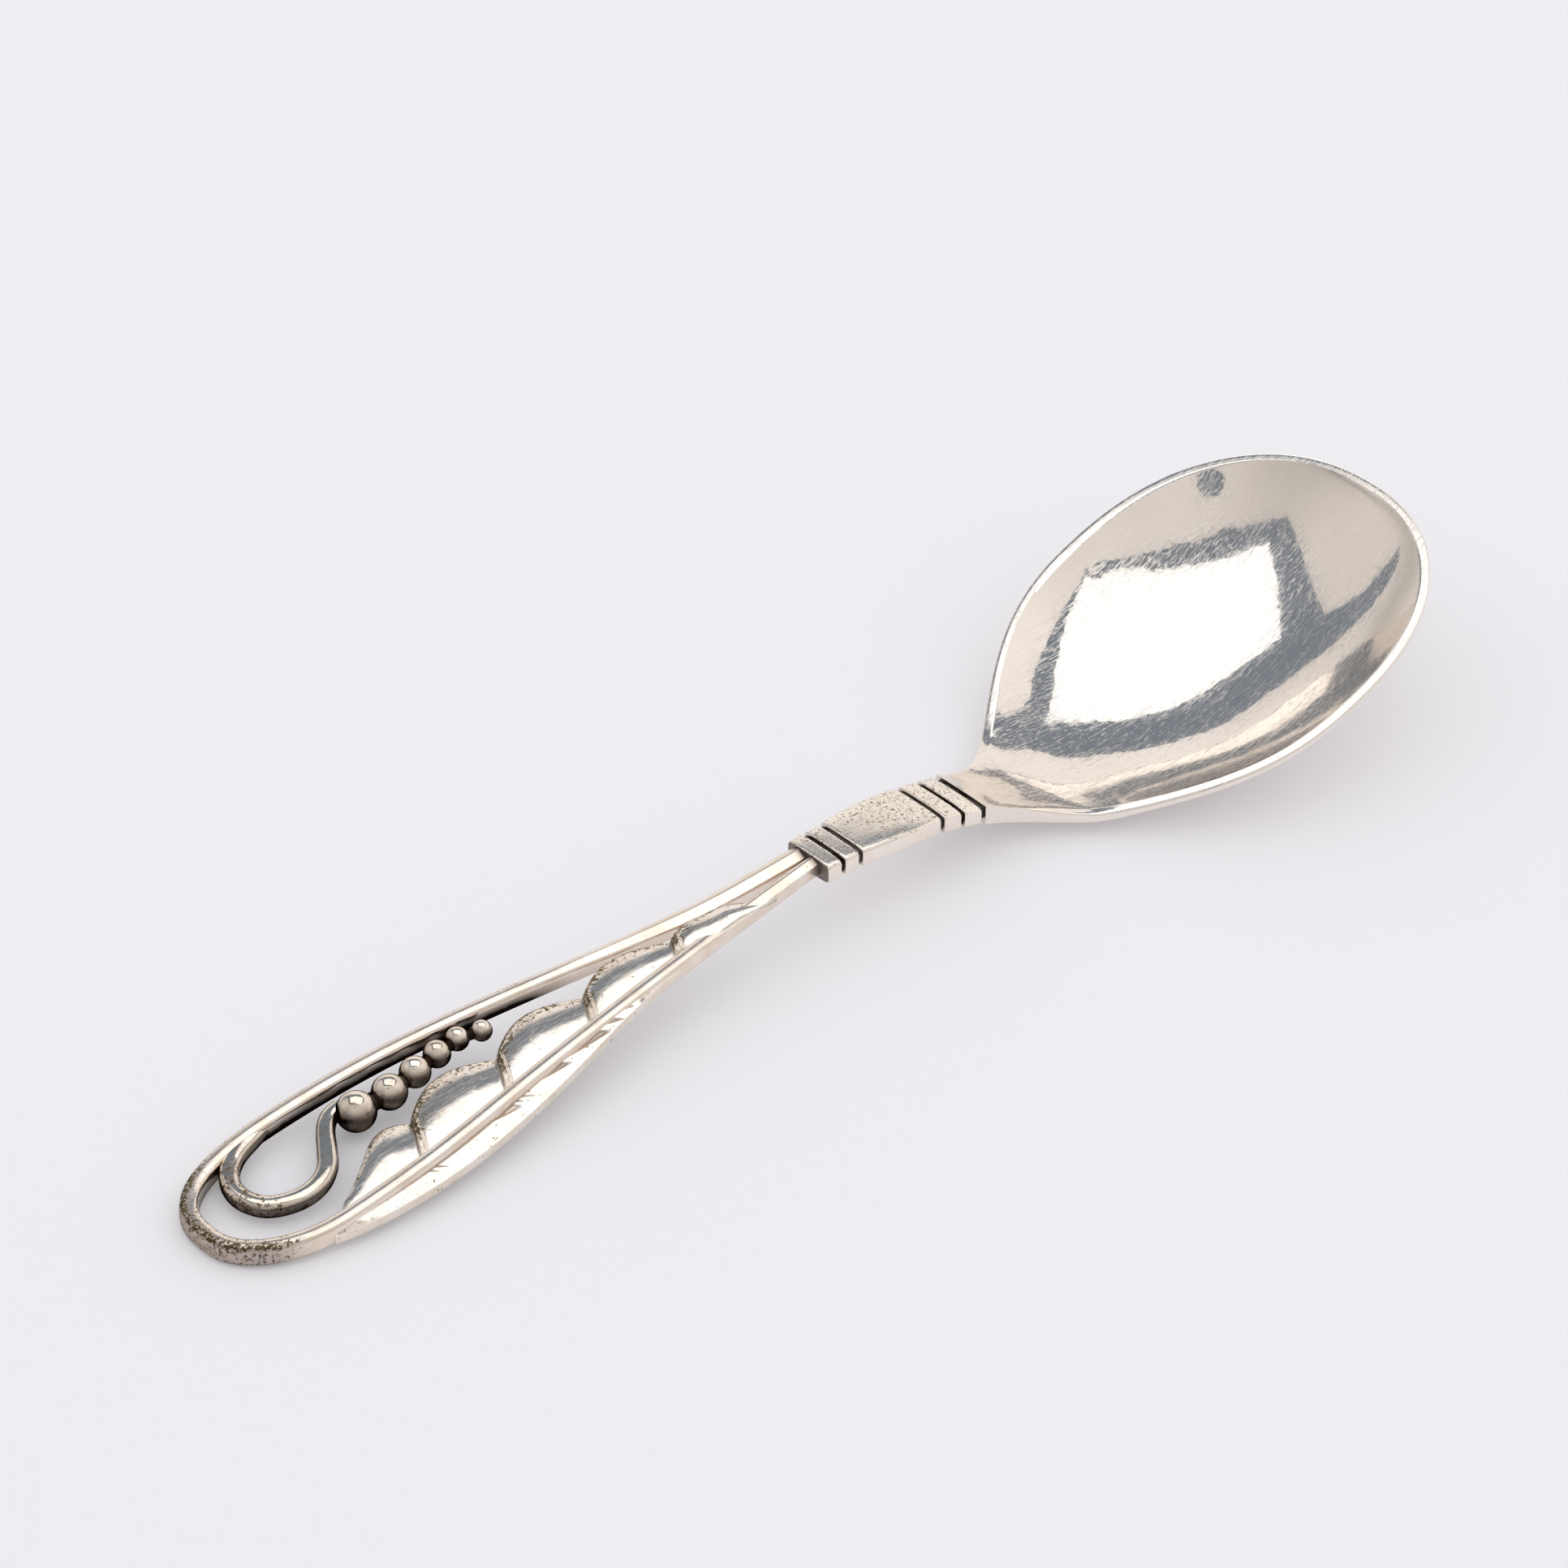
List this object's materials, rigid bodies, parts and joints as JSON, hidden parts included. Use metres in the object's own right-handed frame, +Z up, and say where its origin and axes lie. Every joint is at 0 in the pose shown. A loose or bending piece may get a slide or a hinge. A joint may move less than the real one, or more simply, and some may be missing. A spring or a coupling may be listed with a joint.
{
  "type": "serving spoon",
  "caption": "Silver serving spoon with a broad oval bowl on a grooved collar and an openwork handle of bent wire, domed leaf lobes, a curled tendril and graded beads.",
  "frame": {"origin": "on the table, under the middle of the spoon's box", "axes": "+X from the handle's end to the bowl's tip, +Y towards the beads' side of the handle, +Z up out of the bowl"},
  "size_m": [0.203, 0.054, 0.0249],
  "materials": {
    "polished_silver": "polished silver with fine scratches",
    "satin_silver": "satin silver with small pits",
    "wire_silver": "drawn silver wire, worn bright on top",
    "tarnished_silver": "silver with warm tarnish",
    "chased_silver": "hammered and chased silver"
  },
  "bodies": {
    "root": {"bowl": "polished_silver", "neck_collar": "satin_silver", "handle_rail": "wire_silver", "tendril": "tarnished_silver", "bead_1": "tarnished_silver", "bead_2": "tarnished_silver", "bead_3": "tarnished_silver", "bead_4": "tarnished_silver", "bead_5": "tarnished_silver", "bead_6": "tarnished_silver", "lobed_leaf": "chased_silver", "veined_blade": "chased_silver"}
  },
  "joints": []
}
